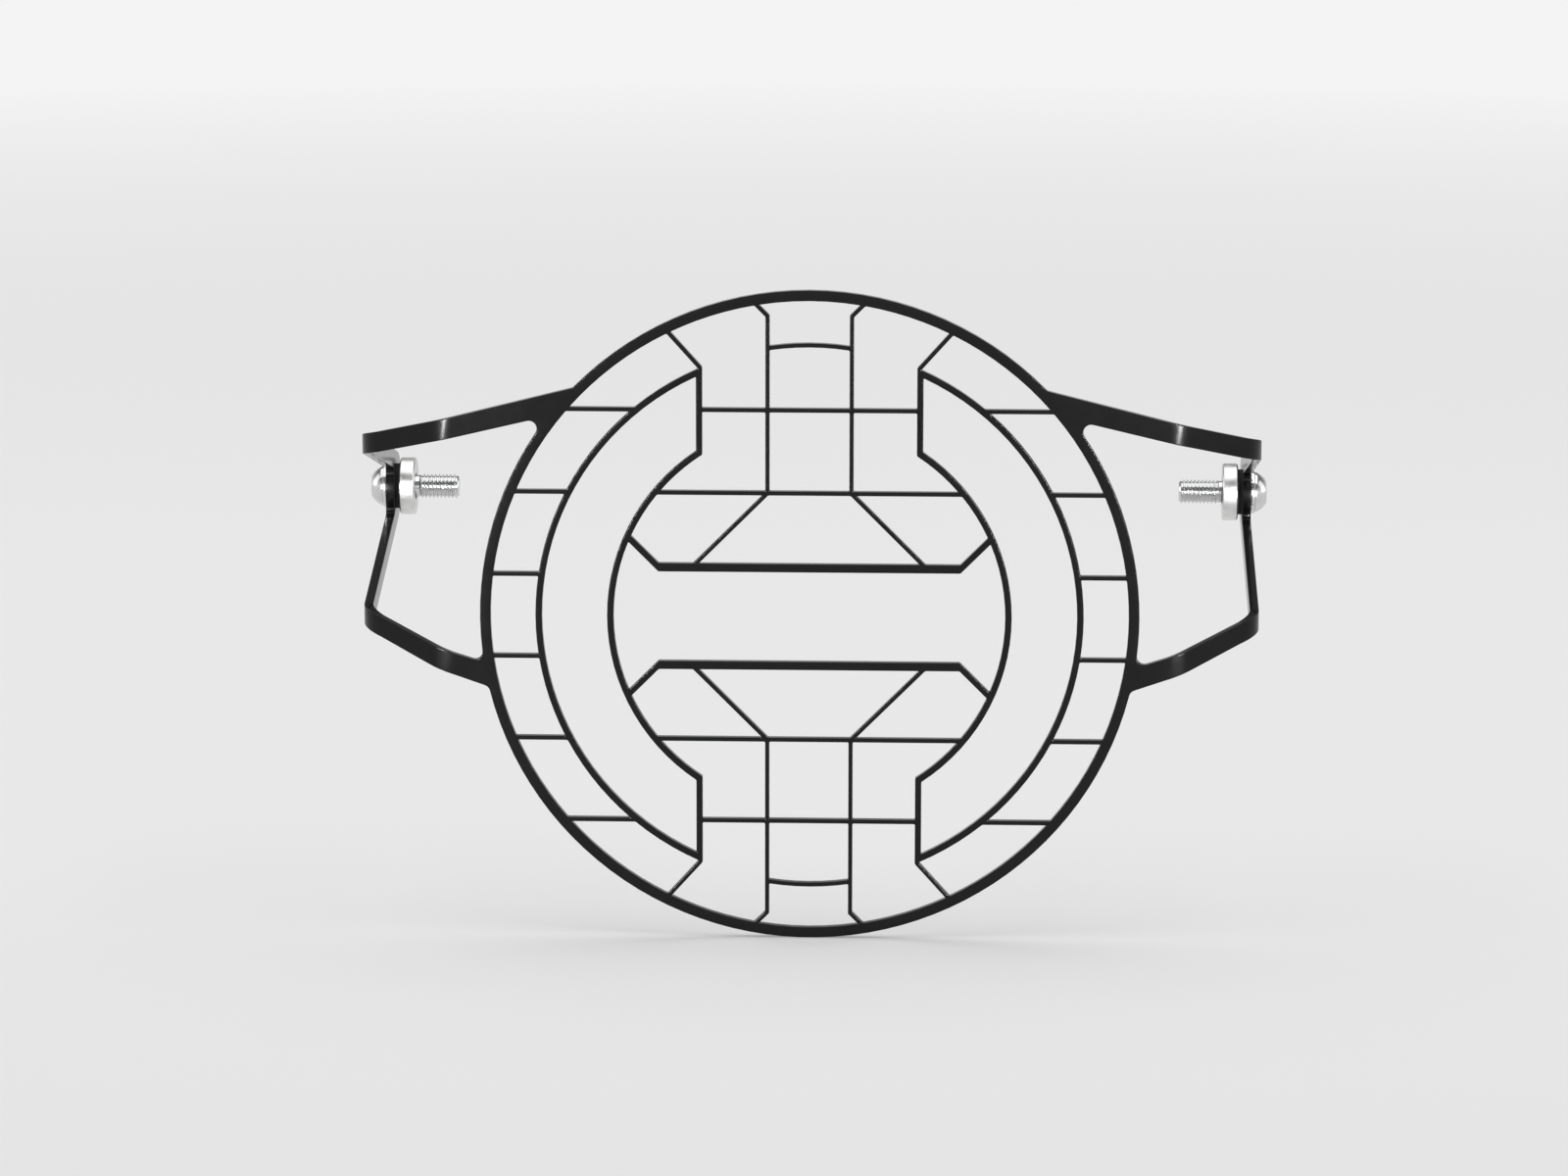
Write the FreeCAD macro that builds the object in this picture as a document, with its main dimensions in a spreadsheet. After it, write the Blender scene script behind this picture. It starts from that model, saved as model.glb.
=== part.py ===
import FreeCAD, Part
import math
import os

import Sketcher
from FreeCAD import Placement, Rotation, Vector

# Motorcycle headlight guard: one folded sheet with a grille of narrow bars, and the screws,
# washers and spacers that fasten its two tabs. Millimetres and degrees.
# X runs across, Z up, and Y backwards from the grille to the tabs. The origin is the middle of
# the ring, on the back face of the grille.

# The driving sizes, one cell each.
SIZES = {
    # The sheet and its three rings.
    "SheetThickness": 3.0,
    "RingRadius": 105.0,             # outer edge of the ring
    "RingWidth": 3.4,
    "MiddleRingInset": 18.75,        # from the ring's outer edge to its centre line
    "MiddleRingWidth": 2.1,
    "CoreRingInset": 22.85,          # from the middle ring's centre line to its own
    "CoreRingWidth": 2.1,
    # The bars inside the ring.
    "PostSpread": 35.0,              # centre line of a heavy upright from the middle
    "PostWidth": 2.0,
    "GridPitch": 26.65,              # the fine bars' grid
    "FineWidth": 1.35,
    "CrownInset": 17.5,              # from the ring's outer edge to the short arcs' centre line
    "SplayReach": 3.2,               # how far a fine upright splays sideways at the ring
    "FlareAngle": 48.0,              # slope of the bar from a post's end to the ring
    "RailHeight": 15.85,             # centre line of a heavy crossbar from the middle
    "RailWidth": 2.7,
    "RailInset": 15.4,               # from the core ring's centre line in to a rail's end
    "BraceWidth": 2.0,               # from a rail's end up to the core ring
    # The folds of the side brackets, seen from above.
    "FirstFoldGap": 12.5,            # from the ring to where the fold's two front faces would meet
    "FirstFoldAngle": 19.0,
    "FirstFoldRadius": 20.0,         # inside of the fold
    "SideGap": 38.5,                 # from the ring to the outer face of the bracket's side
    "SecondFoldRadius": 6.0,
    # The arms: heights of their centre lines and their upright widths.
    "UpperKneeHeight": 59.5,         # at the first fold
    "UpperKneeWidth": 6.7,
    "UpperRootSlope": -0.243,        # rise for each millimetre outwards, near the ring
    "UpperRootTaper": 0.015,         # width lost for each millimetre outwards
    "UpperElbowHeight": 53.5,        # at the second fold
    "UpperElbowWidth": 6.6,
    "LowerKneeHeight": -14.85,
    "LowerKneeWidth": 7.0,
    "LowerRootSlope": 0.33,
    "LowerRootTaper": 0.03,
    "LowerElbowHeight": -3.5,
    "LowerElbowWidth": 6.5,
    "RootFillet": 2.5,
    # The tab, which the arms' outer edges run into as tangents.
    "TabDepth": 94.0,                # hole axis behind the grille
    "TabHeight": 24.3,
    "TabRadius": 11.5,
    "NotchFillet": 2.0,
    # The screw, its washer, the thin pad and the spacer.
    "ScrewRadius": 4.0,              # outside of the thread
    "ScrewLength": 25.0,
    "ShankRadius": 3.6,              # plain shank, through the washer, tab, pad and spacer
    "ShankProud": 1.0,               # how far the shank stands out of the spacer
    "HeadRadius": 6.7,
    "HeadHeight": 4.0,
    "HeadRim": 0.6,                  # straight edge round the head, under its dome
    "HeadFlat": 3.8,                 # radius of the flat on top
    "SocketAcross": 5.0,             # across flats
    "SocketDepth": 2.6,
    "TipChamfer": 0.8,
    "WasherRadius": 7.2,
    "WasherThickness": 1.4,
    "PadRadius": 7.5,                # black pad between the tab and the spacer
    "PadThickness": 1.2,
    "SpacerRadius": 9.5,
    "SpacerLength": 5.0,
    "SpacerChamfer": 0.4,
    "HoleClearance": 0.4,            # round the thread, in the tab, washer, pad and spacer
}

# What follows from them: places that several features share.
PLACES = {
    "RingInside": "Sizes.RingRadius - Sizes.RingWidth",
    "RingMiddle": "Sizes.RingRadius - Sizes.RingWidth / 2",
    "MiddleRingRadius": "Sizes.RingRadius - Sizes.MiddleRingInset",
    "MiddleOuter": "MiddleRingRadius + Sizes.MiddleRingWidth / 2",
    "MiddleInner": "MiddleRingRadius - Sizes.MiddleRingWidth / 2",
    "CoreRingRadius": "MiddleRingRadius - Sizes.CoreRingInset",
    "CoreOuter": "CoreRingRadius + Sizes.CoreRingWidth / 2",
    "CoreInner": "CoreRingRadius - Sizes.CoreRingWidth / 2",
    "CrownRadius": "Sizes.RingRadius - Sizes.CrownInset",
    "CrownOuter": "CrownRadius + Sizes.FineWidth / 2",
    "CrownInner": "CrownRadius - Sizes.FineWidth / 2",
    "UprightX": "Sizes.GridPitch / 2",
    "RowOne": "Sizes.GridPitch / 2",
    "RowTwo": "Sizes.GridPitch * 1.5",
    "RowThree": "Sizes.GridPitch * 2.5",
    "PostInner": "Sizes.PostSpread - Sizes.PostWidth / 2",
    "PostFoot": "sqrt(CoreInner ^ 2 - PostInner ^ 2)",
    "PostTop": "sqrt(MiddleRingRadius ^ 2 - Sizes.PostSpread ^ 2)",
    "FlareFoot": "sqrt(MiddleOuter ^ 2 - PostInner ^ 2)",
    "UprightInner": "UprightX - Sizes.FineWidth / 2",
    "RailReach": "CoreRingRadius - Sizes.RailInset",
    "RailEnd": "RailReach + Sizes.BraceWidth / 2 * sqrt(2) - Sizes.RailWidth / 2",
    "BraceLap": "Sizes.RailWidth / 2 - Sizes.BraceWidth / 2 * cos(45)",
    "SplayFoot": "sqrt(RingInside ^ 2 - (UprightX + Sizes.SplayReach) ^ 2) - Sizes.SplayReach",
    "FirstFoldX": "Sizes.RingRadius + Sizes.FirstFoldGap",
    "SideX": "Sizes.RingRadius + Sizes.SideGap",
    "TabInside": "SideX - Sizes.SheetThickness",
    "HoleRadius": "Sizes.ScrewRadius + Sizes.HoleClearance",
    "PadInside": "TabInside - Sizes.PadThickness",
    "SpacerInside": "PadInside - Sizes.SpacerLength",
    "ShankLength": "SideX + Sizes.WasherThickness - SpacerInside + Sizes.ShankProud",
    # The head's dome is a part of a ball: its middle along the screw, and its radius.
    "DomeMiddle": "(Sizes.HeadHeight ^ 2 + Sizes.HeadFlat ^ 2 - Sizes.HeadRim ^ 2 - Sizes.HeadRadius ^ 2)"
                  " / (2 * (Sizes.HeadHeight - Sizes.HeadRim))",
    "DomeRadius": "sqrt((Sizes.HeadRim - DomeMiddle) ^ 2 + Sizes.HeadRadius ^ 2)",
    "DomeStart": "asin(Sizes.HeadRadius / DomeRadius)",
    "DomeEnd": "asin(Sizes.HeadFlat / DomeRadius)",
}

doc = FreeCAD.newDocument("headlight_guard")
sizes = doc.addObject("Spreadsheet::Sheet", "Sizes")
places = doc.addObject("Spreadsheet::Sheet", "Places")


def fill(sheet, cells, lead=""):
    """One row for each value: its name, and the value in a cell with that name as its alias."""
    for row, (alias, content) in enumerate(cells.items(), start=1):
        sheet.set(f"A{row}", alias)
        sheet.set(f"B{row}", lead + str(content))
        sheet.setAlias(f"B{row}", alias)


fill(sizes, SIZES)
fill(places, PLACES, "=")
doc.recompute()


def value(formula):
    """A formula of cells as a number."""
    return float(sizes.evalExpression(str(formula)))


def origin_plane(body, role):
    return next(plane for plane in body.Origin.OriginFeatures if plane.Role == role)


def new_sketch(body, name, role):
    sketch = body.newObject("Sketcher::SketchObject", name)
    sketch.AttachmentSupport = [(origin_plane(body, role), "")]
    sketch.MapMode = "FlatFace"
    return sketch


def hold(sketch, kind, *places_and_formula):
    """A dimension that follows a formula of cells."""
    *where, formula = places_and_formula
    number = sketch.addConstraint(Sketcher.Constraint(kind, *where, value(formula)))
    sketch.setExpression(f"Constraints[{number}]", str(formula))


def outline(sketch, corners, arcs=None):
    """A closed outline through corners given as formulas. arcs gives, for the edge that starts
    at a corner, its radius and whether it turns anticlockwise about its centre."""
    arcs = arcs or {}
    first = sketch.GeometryCount
    points = [Vector(value(across), value(up), 0) for across, up in corners]
    for number, start in enumerate(points):
        end = points[(number + 1) % len(points)]
        if number in arcs:
            radius, turns_left = arcs[number]
            sketch.addGeometry(arc_between(start, end, value(radius), turns_left))
        else:
            sketch.addGeometry(Part.LineSegment(start, end))
    # An arc always runs anticlockwise, so one that turns the other way starts at its end point.
    heads = [2 if number in arcs and not arcs[number][1] else 1 for number in range(len(points))]
    for number, head in enumerate(heads):
        after = (number + 1) % len(points)
        sketch.addConstraint(
            Sketcher.Constraint("Coincident", first + number, 3 - head, first + after, heads[after]))
    for number, (across, up) in enumerate(corners):
        hold(sketch, "DistanceX", -1, 1, first + number, heads[number], across)
        hold(sketch, "DistanceY", -1, 1, first + number, heads[number], up)
    for number, (radius, _) in arcs.items():
        hold(sketch, "Radius", first + number, radius)


def arc_between(start, end, radius, turns_left):
    """The shorter arc from start to end."""
    chord = end - start
    offset = math.sqrt(radius ** 2 - chord.Length ** 2 / 4)
    left = Vector(-chord.y, chord.x, 0).normalize()
    centre = start + chord / 2 + left * (offset if turns_left else -offset)
    circle = Part.Circle(centre, Vector(0, 0, 1), radius)
    a, b = (start, end) if turns_left else (end, start)
    return Part.ArcOfCircle(circle, circle.parameter(a), circle.parameter(b))


def bar(sketch, start, end, width, slope):
    """A straight bar round the line from start to end, which rises at slope degrees."""
    aside = f"({width}) / 2 * sin({slope})"
    above = f"({width}) / 2 * cos({slope})"
    (x0, z0), (x1, z1) = start, end
    outline(sketch, [
        (f"{x0} + {aside}", f"{z0} - {above}"),
        (f"{x1} + {aside}", f"{z1} - {above}"),
        (f"{x1} - {aside}", f"{z1} + {above}"),
        (f"{x0} - {aside}", f"{z0} + {above}"),
    ])


def circle(sketch, radius):
    number = sketch.addGeometry(Part.Circle(Vector(0, 0, 0), Vector(0, 0, 1), value(radius)))
    sketch.addConstraint(Sketcher.Constraint("Coincident", number, 3, -1, 1))
    hold(sketch, "Radius", number, radius)


def pad(body, name, sketch, length):
    feature = body.newObject("PartDesign::Pad", name)
    feature.Profile = sketch
    feature.setExpression("Length", length)
    return feature


# The grille: the full ring, and one quarter of the pattern that two mirrors repeat.
def ring_height(x, radius):
    """Height of a circle about the middle at x."""
    return f"sqrt(({radius}) ^ 2 - ({x}) ^ 2)"


def reach_along(start, slope, radius):
    """How far a line from start at slope degrees runs before it meets a circle."""
    x, z = start
    along = f"(({x}) * cos({slope}) + ({z}) * sin({slope}))"
    return f"(sqrt({along} ^ 2 + ({radius}) ^ 2 - ({x}) ^ 2 - ({z}) ^ 2) - {along})"


def bar_to_circle(sketch, start, slope, radius, width):
    x, z = start
    reach = reach_along(start, slope, radius)
    bar(sketch, start, (f"{x} + {reach} * cos({slope})", f"{z} + {reach} * sin({slope})"), width, slope)


def make_grille():
    body = doc.addObject("PartDesign::Body", "grille")
    rim = new_sketch(body, "rim_outline", "XZ_Plane")
    circle(rim, "Sizes.RingRadius")
    circle(rim, "Places.RingInside")
    pad(body, "rim", rim, "Sizes.SheetThickness")

    # Rings that stop at the posts, and the crown arc between the fine uprights.
    bands = new_sketch(body, "band_outlines", "XZ_Plane")
    for inner, outer in (("Places.MiddleInner", "Places.MiddleOuter"),
                         ("Places.CoreInner", "Places.CoreOuter")):
        end = "Places.PostInner"
        outline(bands,
                [(inner, "0"), (outer, "0"), (end, ring_height(end, outer)), (end, ring_height(end, inner))],
                {1: (outer, True), 3: (inner, False)})
    inner, outer, end = "Places.CrownInner", "Places.CrownOuter", "Places.UprightX"
    outline(bands,
            [("0", inner), (end, ring_height(end, inner)), (end, ring_height(end, outer)), ("0", outer)],
            {0: (inner, False), 2: (outer, True)})

    uprights = new_sketch(body, "upright_outlines", "XZ_Plane")
    bar(uprights, ("Sizes.PostSpread", "Places.PostFoot"), ("Sizes.PostSpread", "Places.PostTop"),
        "Sizes.PostWidth", 90)
    bar(uprights, ("Places.UprightX", "Places.RowTwo"), ("Places.UprightX", "Places.SplayFoot"),
        "Sizes.FineWidth", 90)

    crossbars = new_sketch(body, "crossbar_outlines", "XZ_Plane")
    bar(crossbars, ("0", "Sizes.RailHeight"), ("Places.RailEnd", "Sizes.RailHeight"), "Sizes.RailWidth", 0)
    row = "Places.RowTwo"
    bar(crossbars, ("0", row), (ring_height(row, "Places.CoreRingRadius"), row), "Sizes.FineWidth", 0)
    bar(crossbars, ("0", "Places.RowThree"), ("Sizes.PostSpread", "Places.RowThree"), "Sizes.FineWidth", 0)
    for row in ("Places.RowOne", "Places.RowTwo", "Places.RowThree"):
        start = ring_height(row, "Places.MiddleRingRadius")
        end = ring_height(row, "Places.RingMiddle")
        bar(crossbars, (start, row), (end, row), "Sizes.FineWidth", 0)

    slants = new_sketch(body, "slant_outlines", "XZ_Plane")
    foot = ("(Places.RailReach - Places.BraceLap)", "(Sizes.RailHeight - Places.BraceLap)")
    bar_to_circle(slants, foot, 45, "Places.CoreRingRadius", "Sizes.BraceWidth")
    for corner, slope in ((("Places.PostInner", "Places.FlareFoot"), "Sizes.FlareAngle"),
                          (("Places.UprightInner", "Places.SplayFoot"), 45)):
        # The bar's inner edge starts at the inner corner.
        x, z = corner
        foot = (f"({x} + Sizes.FineWidth / 2 * sin({slope}))", f"({z} - Sizes.FineWidth / 2 * cos({slope}))")
        bar_to_circle(slants, foot, slope, "Places.RingMiddle", "Sizes.FineWidth")
    fall = "(Places.RowTwo - Sizes.RailHeight)"
    bar(slants, ("Places.UprightX", "Places.RowTwo"), (f"Places.UprightX + {fall}", "Sizes.RailHeight"),
        "Sizes.FineWidth", -45)

    quarter = [pad(body, name, sketch, "Sizes.SheetThickness")
               for name, sketch in (("bands", bands), ("uprights", uprights), ("crossbars", crossbars),
                                    ("slants", slants))]
    pattern = body.newObject("PartDesign::MultiTransform", "quarters")
    pattern.Originals = quarter
    mirrors = []
    for name, role in (("across", "YZ_Plane"), ("down", "XY_Plane")):
        mirror = body.newObject("PartDesign::Mirrored", name)
        mirror.MirrorPlane = (origin_plane(body, role), [""])
        mirrors.append(mirror)
    pattern.Transformations = mirrors
    body.Tip = pattern
    return body




# The side brackets. An arm is a strip of the sheet, drawn unfolded as a height and a width for
# each distance along it, and folded twice about upright lines.
SECTION_TURN = 9.0      # most degrees of a fold between two sections of its solid
ON_LINE = 0.01          # an edge this near to a circle lies on it


class Fold:
    """The sheet's middle surface seen from above. Distances run outwards along it and are 0 where
    the first fold starts."""

    def __init__(self):
        half = value("Sizes.SheetThickness / 2")
        self.half = half
        self.first_turn = math.radians(value("Sizes.FirstFoldAngle"))
        self.second_turn = math.pi / 2 - self.first_turn
        self.first_radius = value("Sizes.FirstFoldRadius") + half
        self.second_radius = value("Sizes.SecondFoldRadius") + half
        tangent = (self.first_radius + half) * math.tan(self.first_turn / 2)
        self.start = Vector(value("Places.FirstFoldX") - tangent, -half, 0)
        self.first_end = self.first_radius * self.first_turn
        after_first = self.turned(self.start, 0, self.first_radius, self.first_turn)
        self.slope_direction = Vector(math.cos(self.first_turn), math.sin(self.first_turn), 0)
        # The straight between the folds is as long as the bracket's width asks.
        side = value("Places.SideX") - half
        fold_width = self.second_radius * (1 - math.sin(self.first_turn))
        straight = (side - after_first.x - fold_width) / math.cos(self.first_turn)
        self.second_start = self.first_end + straight
        self.second_end = self.second_start + self.second_radius * self.second_turn
        self.after_first = after_first
        self.before_second = after_first + self.slope_direction * straight
        self.after_second = self.turned(self.before_second, self.first_turn, self.second_radius,
                                        self.second_turn)
        self.first_middle = self.first_end / 2
        self.second_middle = (self.second_start + self.second_end) / 2
        self.tab = self.second_end + value("Sizes.TabDepth") - self.after_second.y

    @staticmethod
    def turned(point, heading, radius, turn):
        """Where an arc to the left ends that starts at a point with a heading."""
        end = heading + turn
        chord = Vector(math.sin(end) - math.sin(heading), math.cos(heading) - math.cos(end), 0)
        return point + chord * radius

    def at(self, along):
        """Point and heading at a distance."""
        if along <= 0:
            return self.start + Vector(along, 0, 0), 0.0
        if along < self.first_end:
            turn = along / self.first_radius
            return self.turned(self.start, 0, self.first_radius, turn), turn
        if along <= self.second_start:
            return self.after_first + self.slope_direction * (along - self.first_end), self.first_turn
        if along < self.second_end:
            turn = (along - self.second_start) / self.second_radius
            point = self.turned(self.before_second, self.first_turn, self.second_radius, turn)
            return point, self.first_turn + turn
        return self.after_second + Vector(0, along - self.second_end, 0), math.pi / 2


class Arm:
    """One arm's unfolded outline: side is 1 for the upper arm and -1 for the lower one."""

    def __init__(self, fold, name, side):
        self.fold = fold
        self.knee = value(f"Sizes.{name}KneeHeight")
        self.elbow = value(f"Sizes.{name}ElbowHeight")
        self.knee_width = value(f"Sizes.{name}KneeWidth")
        self.elbow_width = value(f"Sizes.{name}ElbowWidth")
        self.root_slope = value(f"Sizes.{name}RootSlope")
        self.root_taper = value(f"Sizes.{name}RootTaper")
        self.middle_slope = (self.elbow - self.knee) / (fold.second_middle - fold.first_middle)
        # The outer edge touches the tab's circle, so the centre line passes the hole at aside,
        # which depends on the lean again. A few rounds settle both.
        run = fold.tab - fold.second_middle
        rise = value("Sizes.TabHeight") - self.elbow
        radius = value("Sizes.TabRadius")
        lean = math.atan2(rise, run)
        for _ in range(8):
            aside = radius - self.elbow_width * math.cos(lean) / 2
            lean = math.atan2(rise, run) + side * math.asin(aside / math.hypot(rise, run))
        self.side_slope = math.tan(lean)
        self.end = fold.tab + radius * abs(math.sin(lean))

    def height(self, along):
        """The centre line: three straight stretches, with the change of slope spread over a fold."""
        fold = self.fold
        if along < fold.first_end:
            level = self.knee + self.root_slope * (along - fold.first_middle)
            change = (self.middle_slope - self.root_slope) / (2 * fold.first_end)
            return level + change * max(along, 0) ** 2
        if along < fold.second_end:
            level = self.knee + self.middle_slope * (along - fold.first_middle)
            change = (self.side_slope - self.middle_slope) / (2 * (fold.second_end - fold.second_start))
            return level + change * max(along - fold.second_start, 0) ** 2
        return self.elbow + self.side_slope * (along - fold.second_middle)

    def width(self, along):
        fold = self.fold
        if along < 0:
            return self.width(0) - self.root_taper * along
        share = min(max((along - fold.first_middle) / (fold.second_middle - fold.first_middle), 0), 1)
        return self.knee_width + (self.elbow_width - self.knee_width) * share

    def section(self, along):
        """The strip's cross-section, square to the sheet."""
        point, heading = self.fold.at(along)
        front = Vector(math.sin(heading), -math.cos(heading), 0) * self.fold.half
        up = Vector(0, 0, self.width(along) / 2)
        middle = Vector(point.x, point.y, self.height(along))
        return Part.makePolygon([middle + front + up, middle + front - up, middle - front - up,
                                 middle - front + up, middle + front + up])

    def flat(self, start, end):
        """A straight stretch: a flat four-sided plate between two sections."""
        first, last = self.section(start), self.section(end)
        corners = [section.Vertexes[number].Point for section, number in
                   ((first, 0), (first, 1), (last, 1), (last, 0))]
        through = first.Vertexes[3].Point - corners[0]
        return Part.Face(Part.makePolygon([*corners, corners[0]])).extrude(through)

    def curved(self, start, end, turn):
        """A fold: one smooth solid through several sections."""
        steps = math.ceil(math.degrees(turn) / SECTION_TURN)
        stations = [start + (end - start) * step / steps for step in range(steps + 1)]
        return Part.makeLoft([self.section(along) for along in stations], True, False)

    def root(self):
        """Distance from which the whole strip lies inside the ring's centre line."""
        ring = value("Places.RingMiddle")
        along = 0.0
        while along > -self.fold.start.x:
            corners = [vertex.Point for vertex in self.section(along).Vertexes]
            if max(math.hypot(corner.x, corner.z) for corner in corners) < ring:
                break
            along -= value("Sizes.RingWidth")
        return along

    def solid(self):
        fold = self.fold
        stretches = [
            self.flat(self.root(), 0),
            self.curved(0, fold.first_end, fold.first_turn),
            self.flat(fold.first_end, fold.second_start),
            self.curved(fold.second_start, fold.second_end, fold.second_turn),
            self.flat(fold.second_end, self.end),
        ]
        return stretches[0].fuse(stretches[1:]).removeSplitter()


def make_arm(name, side):
    feature = doc.addObject("Part::Feature", f"{name.lower()}_arm")
    feature.Shape = Arm(Fold(), name, side).solid()
    return feature


def make_cylinder(name, radius, height, placement, cells):
    """A cylinder whose own axis is its placement's Z. cells binds parts of its position."""
    cylinder = doc.addObject("Part::Cylinder", name)
    cylinder.setExpression("Radius", radius)
    cylinder.setExpression("Height", height)
    cylinder.Placement = placement
    for axis, formula in cells.items():
        cylinder.setExpression(f"Placement.Base.{axis}", formula)
    return cylinder


def combine(kind, name, **links):
    feature = doc.addObject(kind, name)
    for key, link in links.items():
        setattr(feature, key, link)
    return feature


ALONG_X = Rotation(Vector(0, 1, 0), 90)
ALONG_Y = Rotation(Vector(1, 0, 0), -90)


def make_bracket():
    """The right bracket, and the left one as its mirror image."""
    upper = make_arm("Upper", 1)
    lower = make_arm("Lower", -1)
    tab_place = {"y": "Sizes.TabDepth", "z": "Sizes.TabHeight"}
    inner_face = "Places.TabInside"
    disc = make_cylinder("tab_disc", "Sizes.TabRadius", "Sizes.SheetThickness",
                         Placement(Vector(), ALONG_X), {"x": inner_face, **tab_place})
    hole = make_cylinder("tab_hole", "Places.HoleRadius", "Sizes.SheetThickness",
                         Placement(Vector(), ALONG_X), {"x": inner_face, **tab_place})
    ring_core = make_cylinder("ring_core", "Places.RingMiddle", "Sizes.SheetThickness",
                              Placement(Vector(), ALONG_Y), {"y": "-Sizes.SheetThickness"})
    blank = combine("Part::MultiFuse", "bracket_blank", Shapes=[upper, lower, disc], Refine=True)
    doc.recompute()
    trims = combine("Part::MultiFuse", "bracket_trims", Shapes=[hole, ring_core])
    right = combine("Part::Cut", "right_bracket", Base=blank, Tool=trims)
    left = combine("Part::Mirroring", "left_bracket", Source=right, Normal=Vector(1, 0, 0))
    return right, left


def edge_numbers(shape, wanted):
    return [number for number, edge in enumerate(shape.Edges, start=1) if wanted(edge)]


def straight_along(edge, axis):
    if edge.Curve.TypeId != "Part::GeomLine":
        return False
    return abs(abs(edge.Curve.Direction.dot(axis)) - 1) < 1e-6


def make_guard():
    """The whole sheet. Its inside corners at the ring and at the tabs are rounded."""
    grille = make_grille()
    right, left = make_bracket()
    sheet = combine("Part::MultiFuse", "sheet", Shapes=[grille, right, left], Refine=True)
    doc.recompute()
    ring = value("Sizes.RingRadius")
    hole = Vector(0, value("Sizes.TabDepth"), value("Sizes.TabHeight"))
    tab = value("Sizes.TabRadius")

    def at_ring(edge):
        middle = edge.CenterOfMass
        return straight_along(edge, Vector(0, 1, 0)) and abs(math.hypot(middle.x, middle.z) - ring) < ON_LINE

    def at_tab(edge):
        middle = edge.CenterOfMass
        aside = Vector(0, middle.y, middle.z).distanceToPoint(hole)
        return straight_along(edge, Vector(1, 0, 0)) and abs(aside - tab) < ON_LINE and middle.y < hole.y

    fillets = [(number, value("Sizes.RootFillet")) for number in edge_numbers(sheet.Shape, at_ring)]
    fillets += [(number, value("Sizes.NotchFillet")) for number in edge_numbers(sheet.Shape, at_tab)]
    guard = doc.addObject("Part::Fillet", "guard")
    guard.Base = sheet
    guard.Edges = [(number, radius, radius) for number, radius in fillets]
    guard.Label = "guard_frame"
    return guard


# The fasteners. Each is turned about its own X axis, which points outwards from the tab.
DOME_BANDS = 3


def turned_body(name, corners, arcs=None):
    """A body of revolution: corners are distances along the axis and radii."""
    body = doc.addObject("PartDesign::Body", name)
    profile = new_sketch(body, f"{name}_profile", "XY_Plane")
    outline(profile, corners, arcs)
    turning = body.newObject("PartDesign::Revolution", f"{name}_turning")
    turning.Profile = profile
    turning.ReferenceAxis = (profile, ["H_Axis"])
    turning.Angle = 360
    body.Label = name
    return body


def dome_corner(share):
    """A corner of the head's dome, which is turned in a few straight bands. share is 0 at the rim
    and 1 at the flat."""
    turn = f"(Places.DomeStart + {share} * (Places.DomeEnd - Places.DomeStart))"
    return f"Places.DomeMiddle + Places.DomeRadius * cos({turn})", f"Places.DomeRadius * sin({turn})"


def sink_socket(body, name):
    """The hexagon socket in the screw's head."""
    hexagon = new_sketch(body, f"{name}_hexagon", "YZ_Plane")
    hexagon.setExpression("AttachmentOffset.Base.z", "Sizes.HeadHeight")
    corner = "Sizes.SocketAcross / sqrt(3)"
    outline(hexagon, [(f"{corner} * cos({turn})", f"{corner} * sin({turn})") for turn in range(30, 390, 60)])
    socket = body.newObject("PartDesign::Pocket", f"{name}_socket")
    socket.Profile = hexagon
    socket.setExpression("Length", "Sizes.SocketDepth")


def place_on_tab(body, side, distance):
    """side is 1 on the right and -1 on the left. distance is from the middle, along X."""
    body.Placement = Placement(Vector(), Rotation(Vector(0, 0, 1), 0 if side > 0 else 180))
    body.setExpression("Placement.Base.x", f"{side} * ({distance})")
    body.setExpression("Placement.Base.y", "Sizes.TabDepth")
    body.setExpression("Placement.Base.z", "Sizes.TabHeight")


def flat_ring(name, thickness, radius):
    """A flat ring with the screw's clearance hole."""
    return turned_body(name, [
        ("0", "Places.HoleRadius"),
        (thickness, "Places.HoleRadius"),
        (thickness, radius),
        ("0", radius),
    ])


def make_fasteners(name, side):
    screw = turned_body(f"{name}_screw", [
        ("-Sizes.ScrewLength", "0"),
        ("-Sizes.ScrewLength", "Sizes.ScrewRadius - Sizes.TipChamfer"),
        ("-Sizes.ScrewLength + Sizes.TipChamfer", "Sizes.ScrewRadius"),
        ("-Places.ShankLength", "Sizes.ScrewRadius"),
        ("-Places.ShankLength", "Sizes.ShankRadius"),
        ("0", "Sizes.ShankRadius"),
        ("0", "Sizes.HeadRadius"),
        *[dome_corner(band / DOME_BANDS) for band in range(DOME_BANDS + 1)],
        ("Sizes.HeadHeight", "0"),
    ])
    sink_socket(screw, f"{name}_screw")
    washer = flat_ring(f"{name}_washer", "Sizes.WasherThickness", "Sizes.WasherRadius")
    pad = flat_ring(f"{name}_pad", "Sizes.PadThickness", "Sizes.PadRadius")
    spacer = turned_body(f"{name}_spacer", [
        ("0", "Places.HoleRadius"),
        ("Sizes.SpacerLength", "Places.HoleRadius"),
        ("Sizes.SpacerLength", "Sizes.SpacerRadius - Sizes.SpacerChamfer"),
        ("Sizes.SpacerLength - Sizes.SpacerChamfer", "Sizes.SpacerRadius"),
        ("Sizes.SpacerChamfer", "Sizes.SpacerRadius"),
        ("0", "Sizes.SpacerRadius - Sizes.SpacerChamfer"),
    ])
    place_on_tab(screw, side, "Places.SideX + Sizes.WasherThickness")
    place_on_tab(washer, side, "Places.SideX")
    place_on_tab(pad, side, "Places.PadInside")
    place_on_tab(spacer, side, "Places.SpacerInside")
    return [screw, washer, pad, spacer]


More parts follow.
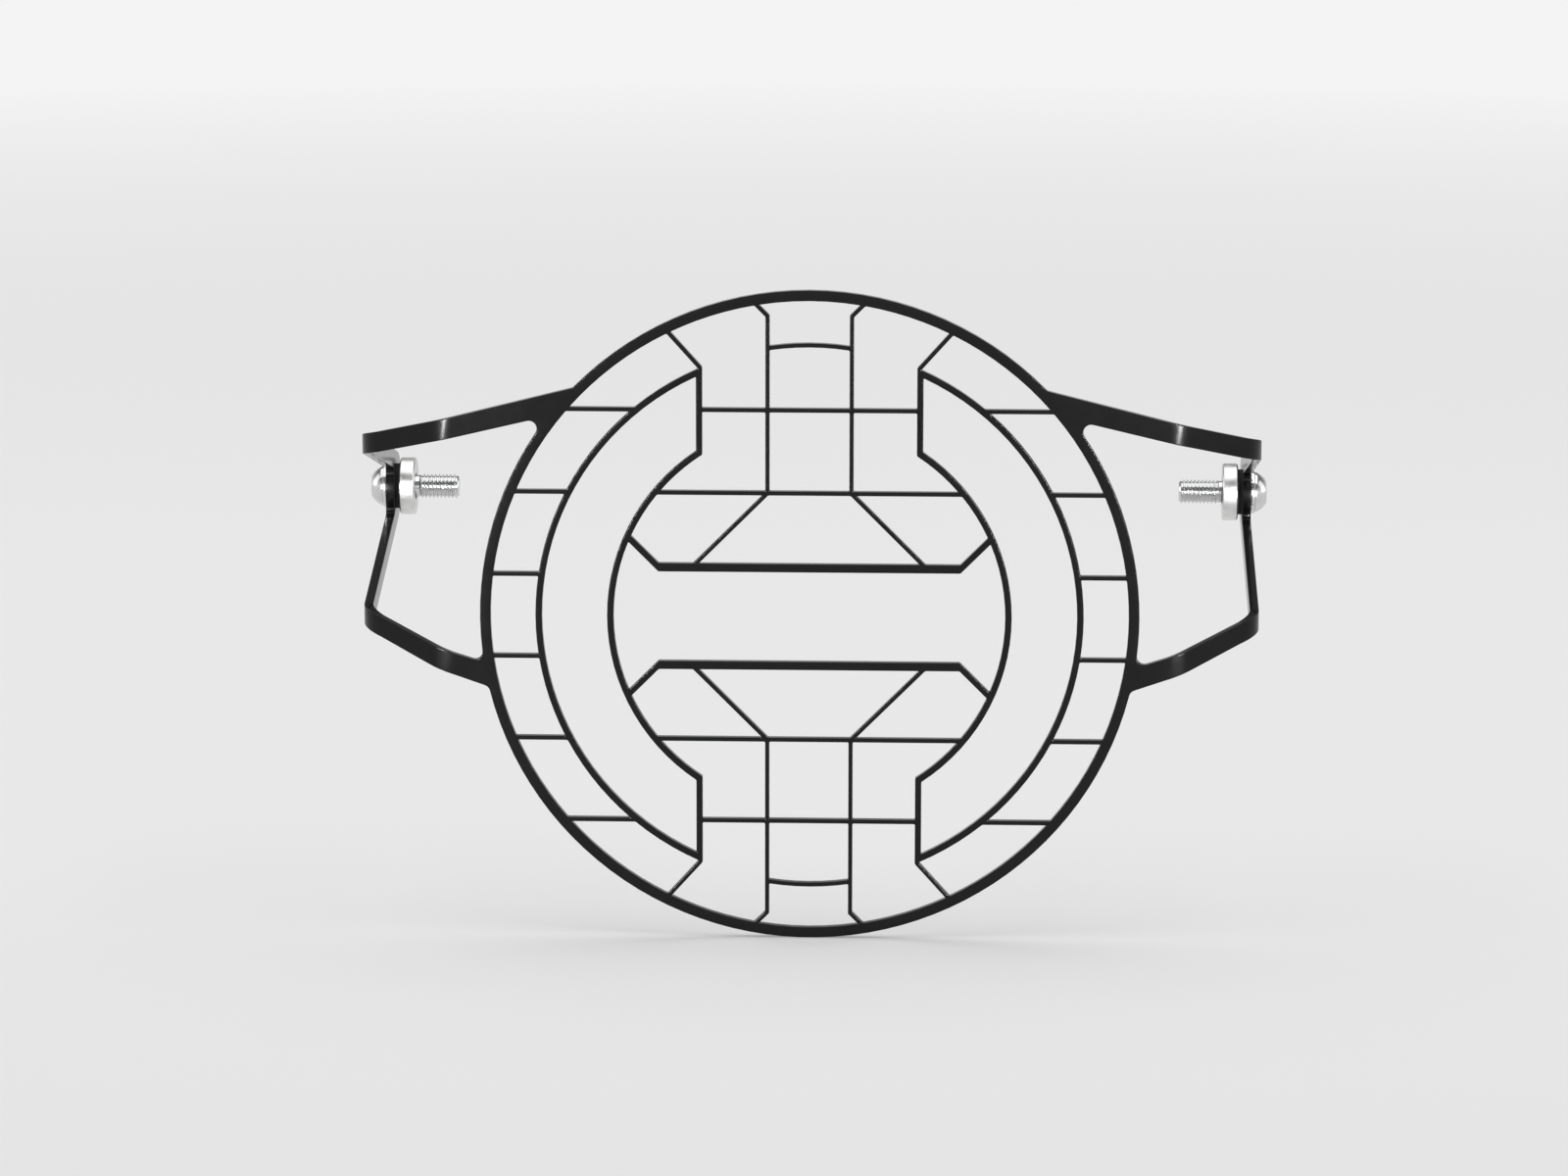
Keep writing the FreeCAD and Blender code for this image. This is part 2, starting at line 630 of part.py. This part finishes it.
pieces = [make_guard(), *make_fasteners("right", 1), *make_fasteners("left", -1)]
doc.recompute()

for item in doc.Objects:
    if "Invalid" in item.State or "Error" in item.State:
        raise RuntimeError(f"{item.Name} does not build: {item.State}")
os.makedirs("parts", exist_ok=True)
for piece in pieces:
    shape = piece.Shape
    if shape.isNull() or not shape.isValid() or len(shape.Solids) != 1:
        raise RuntimeError(f"{piece.Label} is not one valid solid")
    shape.exportStep(f"parts/{piece.Label}.step")
    print(piece.Label, round(shape.Volume, 1), len(shape.Faces), shape.BoundBox)
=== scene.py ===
import math

import bpy
from mathutils import Matrix, Vector


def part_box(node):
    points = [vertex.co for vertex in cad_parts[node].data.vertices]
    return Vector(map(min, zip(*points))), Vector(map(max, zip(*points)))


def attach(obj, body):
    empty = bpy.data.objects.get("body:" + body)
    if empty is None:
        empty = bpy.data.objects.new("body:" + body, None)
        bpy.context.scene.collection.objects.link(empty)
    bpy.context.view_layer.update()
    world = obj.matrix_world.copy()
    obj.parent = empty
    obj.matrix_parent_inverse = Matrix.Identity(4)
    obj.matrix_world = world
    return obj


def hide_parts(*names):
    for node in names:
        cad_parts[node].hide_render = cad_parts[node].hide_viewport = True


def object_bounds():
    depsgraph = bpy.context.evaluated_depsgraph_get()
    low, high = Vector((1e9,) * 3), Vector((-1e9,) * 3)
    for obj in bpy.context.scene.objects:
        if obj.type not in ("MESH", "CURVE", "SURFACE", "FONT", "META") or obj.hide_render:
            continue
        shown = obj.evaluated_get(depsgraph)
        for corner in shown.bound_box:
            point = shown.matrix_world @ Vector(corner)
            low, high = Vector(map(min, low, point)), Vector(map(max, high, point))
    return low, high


# Looks for the motorcycle headlight guard. Metres. X runs across, Z up and Y backwards.

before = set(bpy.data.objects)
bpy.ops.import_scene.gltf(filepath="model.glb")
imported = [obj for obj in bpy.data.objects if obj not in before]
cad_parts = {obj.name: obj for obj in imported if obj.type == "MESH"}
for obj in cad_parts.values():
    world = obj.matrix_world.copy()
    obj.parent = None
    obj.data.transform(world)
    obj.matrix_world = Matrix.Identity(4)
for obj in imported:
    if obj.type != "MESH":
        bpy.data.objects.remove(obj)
cad_box = [list(corner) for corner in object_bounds()]
MM = 0.001
SIDES = ("right", "left")

# The camera stands where the photograph was taken from. Its picture is 1600 by 1200 pixels.
PICTURE_WIDTH = 1600
PICTURE_HEIGHT = 1200
SENSOR_WIDTH = 36.0
CAMERA_AZIMUTH = math.radians(2.0)
CAMERA_ELEVATION = math.radians(11.09)
CAMERA_ROLL = math.radians(0.074)
CAMERA_DISTANCE = 1.926
FOCAL_PIXELS = 6176.0
RING_MIDDLE_PIXEL = (825.6, 630.2)

# Rounded edges, as coated or tumbled metal has.
GUARD_ROUNDING = 0.35 * MM
WASHER_ROUNDING = 0.15 * MM
WELD_WITHIN = 0.001 * MM
SHARP_FROM = math.radians(35)

# The screw's form, inside the box of its solid.
THREAD_PITCH = 1.25 * MM
THREAD_RADIUS = 4.0 * MM
THREAD_ROOT = 3.35 * MM
SHANK_RADIUS = 3.6 * MM
SHANK_LENGTH = 11.6 * MM
TIP_CHAMFER = 0.8 * MM
HEAD_HEIGHT = 4.0 * MM
HEAD_RIM = 0.6 * MM
HEAD_FLAT = 3.8 * MM
EDGE_ROUNDING = 0.2 * MM
SOCKET_APOTHEM = 2.5 * MM
SOCKET_DEPTH = 2.6 * MM
SOCKET_LIP = 0.3 * MM
SOCKET_TIP_DEPTH = 0.5 * MM
SOCKET_TIP_RADIUS = 1.2 * MM
AROUND = 72
RINGS_A_PITCH = 10
DOME_STEPS = 12
ROOT_SHARE = 0.2
FLANK_SHARE = 0.62
RUN_OUT = 0.8 * THREAD_PITCH
CREASE_FROM = math.radians(34)

# The studio. Powers are in watts, and PALE is the backdrop's tone, where 1 is white.
PALE = 0.9
FLOOR_SIZE = 40.0
FLOOR_TONE = (0.82, 0.82, 0.82)
NEAR_FLOOR = 0.4
FAR_FLOOR = 2.5
NEAR_SHARE = 0.3
HORIZON_BAND = (0.1, 0.5)
SKY_STRENGTH = 0.2
CEILING_POWER = 30.0
STRIP_POWER = 0.3
STRIP_BEAM = 30
SIDE_POWER = 3.0


# Node helpers for the materials.
def new_material(name, color, roughness, metallic=0.0):
    material = bpy.data.materials.new(name)
    material.use_nodes = True
    material.diffuse_color = (*color, 1)
    shader = material.node_tree.nodes["Principled BSDF"]
    shader.inputs["Base Color"].default_value = (*color, 1)
    shader.inputs["Roughness"].default_value = roughness
    shader.inputs["Metallic"].default_value = metallic
    return material, shader


def add(material, kind, **settings):
    """A node with its properties, and input values given by name in inputs."""
    node = material.node_tree.nodes.new(kind)
    inputs = settings.pop("inputs", {})
    for key, content in settings.items():
        setattr(node, key, content)
    for key, content in inputs.items():
        node.inputs[key].default_value = content
    return node


def link(material, source, target):
    material.node_tree.links.new(source, target)


def object_noise(material, size, detail=2.0, stretch=(1, 1, 1)):
    """Noise whose grains are about size metres across, in the object's own coordinates."""
    place = add(material, "ShaderNodeTexCoord")
    mapping = add(material, "ShaderNodeMapping", inputs={"Scale": stretch})
    noise = add(material, "ShaderNodeTexNoise", inputs={"Scale": 1 / size, "Detail": detail})
    link(material, place.outputs["Object"], mapping.inputs["Vector"])
    link(material, mapping.outputs["Vector"], noise.inputs["Vector"])
    return noise.outputs["Fac"]


def spread(material, factor, low, high, start=0.3, end=0.7):
    """factor from start to end as a number from low to high."""
    node = add(material, "ShaderNodeMapRange",
               inputs={"From Min": start, "From Max": end, "To Min": low, "To Max": high})
    link(material, factor, node.inputs["Value"])
    return node.outputs["Result"]


def tint(material, factor, dark, light):
    """factor as a colour from dark to light."""
    node = add(material, "ShaderNodeMix", data_type="RGBA")
    node.inputs["A"].default_value = (*dark, 1)
    node.inputs["B"].default_value = (*light, 1)
    link(material, factor, node.inputs["Factor"])
    return node.outputs["Result"]


def bump(material, shader, height, depth):
    """Relief of about depth metres."""
    node = add(material, "ShaderNodeBump", inputs={"Distance": depth, "Strength": 1.0})
    link(material, height, node.inputs["Height"])
    link(material, node.outputs["Normal"], shader.inputs["Normal"])


def powder_coat():
    """Satin black powder coat: even and deep black, with the fine orange peel of baked powder."""
    material, shader = new_material("black_powder_coat", (0.007, 0.007, 0.0073), 0.165)
    cloud = spread(material, object_noise(material, 18 * MM, 3.0), 0.0, 1.0)
    color = tint(material, cloud, (0.0055, 0.0055, 0.0058), (0.0085, 0.0085, 0.0088))
    link(material, color, shader.inputs["Base Color"])
    sheen = spread(material, object_noise(material, 6 * MM, 3.0), 0.145, 0.185)
    link(material, sheen, shader.inputs["Roughness"])
    shader.inputs["Specular IOR Level"].default_value = 0.22
    bump(material, shader, object_noise(material, 0.8 * MM, 2.0), 0.004 * MM)
    return material


def black_rubber():
    """The thin pad: dull black rubber with a moulded grain."""
    material, shader = new_material("black_rubber", (0.014, 0.014, 0.014), 0.75)
    grain = object_noise(material, 0.25 * MM, 3.0)
    color = tint(material, grain, (0.010, 0.010, 0.010), (0.018, 0.018, 0.017))
    link(material, color, shader.inputs["Base Color"])
    link(material, spread(material, grain, 0.65, 0.85), shader.inputs["Roughness"])
    bump(material, shader, grain, 0.008 * MM)
    return material


def zinc_plate():
    """Bright zinc on a rolled screw or stamped washer, a little cloudy."""
    material, shader = new_material("zinc_plate", (0.65, 0.655, 0.66), 0.18, 1.0)
    cloud = spread(material, object_noise(material, 2.4 * MM, 4.0), 0.0, 1.0)
    color = tint(material, cloud, (0.60, 0.605, 0.615), (0.70, 0.70, 0.695))
    link(material, color, shader.inputs["Base Color"])
    sheen = spread(material, object_noise(material, 1.6 * MM, 3.0), 0.15, 0.21)
    link(material, sheen, shader.inputs["Roughness"])
    bump(material, shader, object_noise(material, 0.9 * MM, 2.0), 0.0006 * MM)
    return material


def turned_aluminium():
    """Plain turned aluminium: fine tool marks run round the spacer."""
    material, shader = new_material("turned_aluminium", (0.71, 0.705, 0.70), 0.34, 1.0)
    cloud = spread(material, object_noise(material, 3.0 * MM, 3.0), 0.0, 1.0)
    color = tint(material, cloud, (0.62, 0.615, 0.61), (0.76, 0.755, 0.75))
    link(material, color, shader.inputs["Base Color"])
    lines = object_noise(material, 0.16 * MM, 2.0, stretch=(1, 0.02, 0.02))
    link(material, spread(material, lines, 0.28, 0.42), shader.inputs["Roughness"])
    bump(material, shader, lines, 0.0015 * MM)
    return material


COAT = powder_coat()
ZINC = zinc_plate()
RUBBER = black_rubber()
ALUMINIUM = turned_aluminium()


def dress(node, material):
    """Gives a CAD node its material."""
    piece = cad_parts[node]
    piece.data.materials.clear()
    piece.data.materials.append(material)
    return piece


def round_edges(piece, width, segments):
    """Rounds a piece's sharp edges, in its modifiers."""
    weld = piece.modifiers.new("weld", "WELD")
    weld.merge_threshold = WELD_WITHIN
    bevel = piece.modifiers.new("rounding", "BEVEL")
    bevel.limit_method = "ANGLE"
    bevel.angle_limit = SHARP_FROM
    bevel.width = width
    bevel.segments = segments
    bevel.miter_outer = "MITER_ARC"
    bevel.use_clamp_overlap = False
    bevel.loop_slide = False
    normals = piece.modifiers.new("normals", "WEIGHTED_NORMAL")
    normals.weight = 100


# The screws, each a turned surface about the X axis with its threads and its socket.
def thread_radius(along, turn):
    """Radius of the rolled thread. along is measured from the tip."""
    phase = (along / THREAD_PITCH - turn) % 1.0
    flank = abs(phase - 0.5) * 2
    share = min(max((flank - ROOT_SHARE) / FLANK_SHARE, 0), 1)
    return THREAD_ROOT + (THREAD_RADIUS - THREAD_ROOT) * share


def hexagon_radius(turn, apothem):
    """Radius of a hexagon, with a corner at turn 0."""
    sector = (turn * 6) % 1.0
    return apothem / math.cos((sector - 0.5) * math.pi / 3)


def ring_of(along, radius):
    """One ring of points. radius is a number or a function of the turn, from 0 to 1."""
    points = []
    for step in range(AROUND):
        turn = step / AROUND
        r = radius(turn) if callable(radius) else radius
        points.append((along, r * math.cos(turn * math.tau), r * math.sin(turn * math.tau)))
    return points


def thread_rings(length):
    """Rings along the thread, from the tip at -length to the end of the plain shank."""
    rings = []
    thread_length = length - SHANK_LENGTH
    count = round(thread_length / THREAD_PITCH * RINGS_A_PITCH)
    for number in range(count + 1):
        along = thread_length * number / count
        chamfered = THREAD_RADIUS - TIP_CHAMFER + along
        run_out = min((thread_length - along) / RUN_OUT, 1.0)

        def radius(turn, along=along, chamfered=chamfered, run_out=run_out):
            thread = SHANK_RADIUS + (thread_radius(along, turn) - SHANK_RADIUS) * run_out
            return min(thread, chamfered)

        rings.append(ring_of(along - length, radius))
    return rings


def head_rings(head_radius):
    """Rings of the head: underside, rim, dome, flat, socket."""
    squares = HEAD_HEIGHT ** 2 + HEAD_FLAT ** 2 - HEAD_RIM ** 2 - head_radius ** 2
    middle = squares / (2 * (HEAD_HEIGHT - HEAD_RIM))
    ball = math.hypot(HEAD_RIM - middle, head_radius)
    rings = [ring_of(0, SHANK_RADIUS), ring_of(0, head_radius - EDGE_ROUNDING)]
    for turn in (22.5, 45, 67.5, 90):
        angle = math.radians(turn)
        rings.append(ring_of(EDGE_ROUNDING * (1 - math.cos(angle)),
                             head_radius - EDGE_ROUNDING * (1 - math.sin(angle))))
    start = math.asin(head_radius / ball)
    end = math.asin(HEAD_FLAT / ball)
    for step in range(DOME_STEPS + 1):
        angle = start + (end - start) * step / DOME_STEPS
        rings.append(ring_of(middle + ball * math.cos(angle), ball * math.sin(angle)))
    corner = SOCKET_APOTHEM / math.cos(math.pi / 6)
    rings.append(ring_of(HEAD_HEIGHT, corner + SOCKET_LIP))
    for depth, apothem in ((SOCKET_LIP * 0.8, SOCKET_APOTHEM), (SOCKET_DEPTH, SOCKET_APOTHEM)):
        def radius(turn, apothem=apothem):
            return hexagon_radius(turn, apothem)

        rings.append(ring_of(HEAD_HEIGHT - depth, radius))
    rings.append(ring_of(HEAD_HEIGHT - SOCKET_DEPTH - SOCKET_TIP_DEPTH, SOCKET_TIP_RADIUS))
    return rings


def skin(name, rings):
    """A closed mesh through rings of points, with a point at each end."""
    points = [point for ring in rings for point in ring]
    faces = []
    for number in range(len(rings) - 1):
        for step in range(AROUND):
            after = (step + 1) % AROUND
            low, high = number * AROUND, (number + 1) * AROUND
            faces.append((low + step, low + after, high + after, high + step))
    for ring, flip in ((0, True), (len(rings) - 1, False)):
        points.append((rings[ring][0][0], 0, 0))
        for step in range(AROUND):
            pair = (ring * AROUND + step, ring * AROUND + (step + 1) % AROUND)
            faces.append((*(reversed(pair) if flip else pair), len(points) - 1))
    mesh = bpy.data.meshes.new(name)
    mesh.from_pydata(points, [], faces)
    mesh.shade_smooth()
    mesh.set_sharp_from_angle(angle=CREASE_FROM)
    piece = bpy.data.objects.new(name, mesh)
    bpy.context.scene.collection.objects.link(piece)
    return piece


def make_screw(side):
    """The screw stands for its solid, in the same box."""
    node = f"{side}_screw"
    low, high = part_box(node)
    middle = (low + high) / 2
    head_radius = (high.z - low.z) / 2
    length = high.x - low.x - HEAD_HEIGHT
    piece = skin(f"{side}_screw_detail", thread_rings(length) + head_rings(head_radius))
    piece.data.materials.append(ZINC)
    outward = 1 if side == "right" else -1
    under_head = high.x - HEAD_HEIGHT if side == "right" else low.x + HEAD_HEIGHT
    turn = Matrix.Rotation(0 if outward > 0 else math.pi, 4, "Z")
    piece.matrix_world = Matrix.Translation((under_head, middle.y, middle.z)) @ turn
    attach(piece, "root")
    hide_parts(node)


def make_object():
    round_edges(dress("guard_frame", COAT), GUARD_ROUNDING, 3)
    for side in SIDES:
        make_screw(side)
        round_edges(dress(f"{side}_washer", ZINC), WASHER_ROUNDING, 2)
        dress(f"{side}_pad", RUBBER)
        dress(f"{side}_spacer", ALUMINIUM)


# The studio: a pale floor, a pale horizon and soft lamps.
def make_floor():
    """The floor keeps the shadow. Far away it is as pale as the horizon for the camera and reflections."""
    half = FLOOR_SIZE / 2
    height = cad_box[0][2]
    corners = [(x * half, y * half, height) for x, y in ((-1, -1), (1, -1), (1, 1), (-1, 1))]
    mesh = bpy.data.meshes.new("floor")
    mesh.from_pydata(corners, [], [(0, 1, 2, 3)])
    floor = bpy.data.objects.new("floor", mesh)
    bpy.context.scene.collection.objects.link(floor)
    material, shader = new_material("floor_paint", FLOOR_TONE, 0.7)
    shader.inputs["Specular IOR Level"].default_value = 0.0
    place = add(material, "ShaderNodeTexCoord")
    distance = add(material, "ShaderNodeVectorMath", operation="LENGTH")
    link(material, place.outputs["Object"], distance.inputs[0])
    far = spread(material, distance.outputs["Value"], NEAR_SHARE, 1.0, NEAR_FLOOR, FAR_FLOOR)
    path = add(material, "ShaderNodeLightPath")
    seen = add(material, "ShaderNodeMath", operation="MAXIMUM")
    link(material, path.outputs["Is Camera Ray"], seen.inputs[0])
    link(material, path.outputs["Is Glossy Ray"], seen.inputs[1])
    share = add(material, "ShaderNodeMath", operation="MULTIPLY")
    link(material, seen.outputs[0], share.inputs[0])
    link(material, far, share.inputs[1])
    pale = add(material, "ShaderNodeEmission", inputs={"Color": (PALE, PALE, PALE, 1)})
    mix = add(material, "ShaderNodeMixShader")
    link(material, share.outputs[0], mix.inputs[0])
    link(material, shader.outputs[0], mix.inputs[1])
    link(material, pale.outputs[0], mix.inputs[2])
    link(material, mix.outputs[0], material.node_tree.nodes["Material Output"].inputs["Surface"])
    floor.data.materials.append(material)


def soft_lamp(name, place, size, power, target=(0, 0.03, 0), beam=180):
    """A lamp that the camera doesn't see. beam is its spread in degrees."""
    light = bpy.data.lights.new(name, "AREA")
    light.shape = "RECTANGLE"
    light.size, light.size_y = size
    light.energy = power
    light.spread = math.radians(beam)
    lamp = bpy.data.objects.new(name, light)
    lamp.location = place
    lamp.rotation_euler = (Vector(place) - Vector(target)).to_track_quat("Z", "Y").to_euler()
    lamp.visible_camera = False
    bpy.context.scene.collection.objects.link(lamp)
    return lamp


def make_light():
    """The world is pale at the horizon, as a curved backdrop is, and darker above."""
    world = bpy.data.worlds.new("studio")
    world.use_nodes = True
    nodes, links = world.node_tree.nodes, world.node_tree.links
    place = nodes.new("ShaderNodeTexCoord")
    parts = nodes.new("ShaderNodeSeparateXYZ")
    fall = nodes.new("ShaderNodeMapRange")
    limits = zip(("From Min", "From Max", "To Min", "To Max"), (*HORIZON_BAND, PALE, SKY_STRENGTH))
    for key, amount in limits:
        fall.inputs[key].default_value = amount
    links.new(place.outputs["Generated"], parts.inputs[0])
    links.new(parts.outputs["Z"], fall.inputs["Value"])
    links.new(fall.outputs["Result"], nodes["Background"].inputs["Strength"])
    nodes["Background"].inputs["Color"].default_value = (1, 1, 1, 1)
    bpy.context.scene.world = world
    soft_lamp("ceiling", (0, 0.25, 1.7), (2.6, 2.2), CEILING_POWER, (0, 0.25, 0))
    for side in (1, -1):
        # A strip that shows only as the bright streak on the arms' first folds.
        strip = soft_lamp("fold_strip", (side * 0.36, -0.75, 0.06), (0.04, 0.28), STRIP_POWER,
                          (side * 0.13, 0.0, 0.03), STRIP_BEAM)
        strip.visible_diffuse = False
        soft_lamp("side_box", (side * 1.5, 0.15, 0.55), (0.8, 1.1), SIDE_POWER)


def make_camera():
    data = bpy.data.cameras.new("camera")
    data.sensor_width = SENSOR_WIDTH
    data.lens = FOCAL_PIXELS * SENSOR_WIDTH / PICTURE_WIDTH
    data.clip_end = 60
    camera = bpy.data.objects.new("camera", data)
    a, e, r = CAMERA_AZIMUTH, CAMERA_ELEVATION, CAMERA_ROLL
    back = Vector((math.sin(a) * math.cos(e), -math.cos(a) * math.cos(e), math.sin(e)))
    level = Vector((math.cos(a), math.sin(a), 0))
    upright = back.cross(level)
    right = math.cos(r) * level + math.sin(r) * upright
    up = -math.sin(r) * level + math.cos(r) * upright
    # The ring's middle on the front face lands on its pixel.
    metre = CAMERA_DISTANCE / FOCAL_PIXELS
    aside = (RING_MIDDLE_PIXEL[0] - PICTURE_WIDTH / 2) * metre
    above = (PICTURE_HEIGHT / 2 - RING_MIDDLE_PIXEL[1]) * metre
    front_middle = Vector((0, cad_box[0][1], 0))
    place = front_middle + CAMERA_DISTANCE * back - aside * right - above * up
    camera.matrix_world = Matrix.Translation(place) @ Matrix((right, up, back)).transposed().to_4x4()
    bpy.context.scene.collection.objects.link(camera)
    bpy.context.scene.camera = camera


make_object()
make_floor()
make_light()
make_camera()
bpy.context.scene.view_settings.view_transform = "Standard"
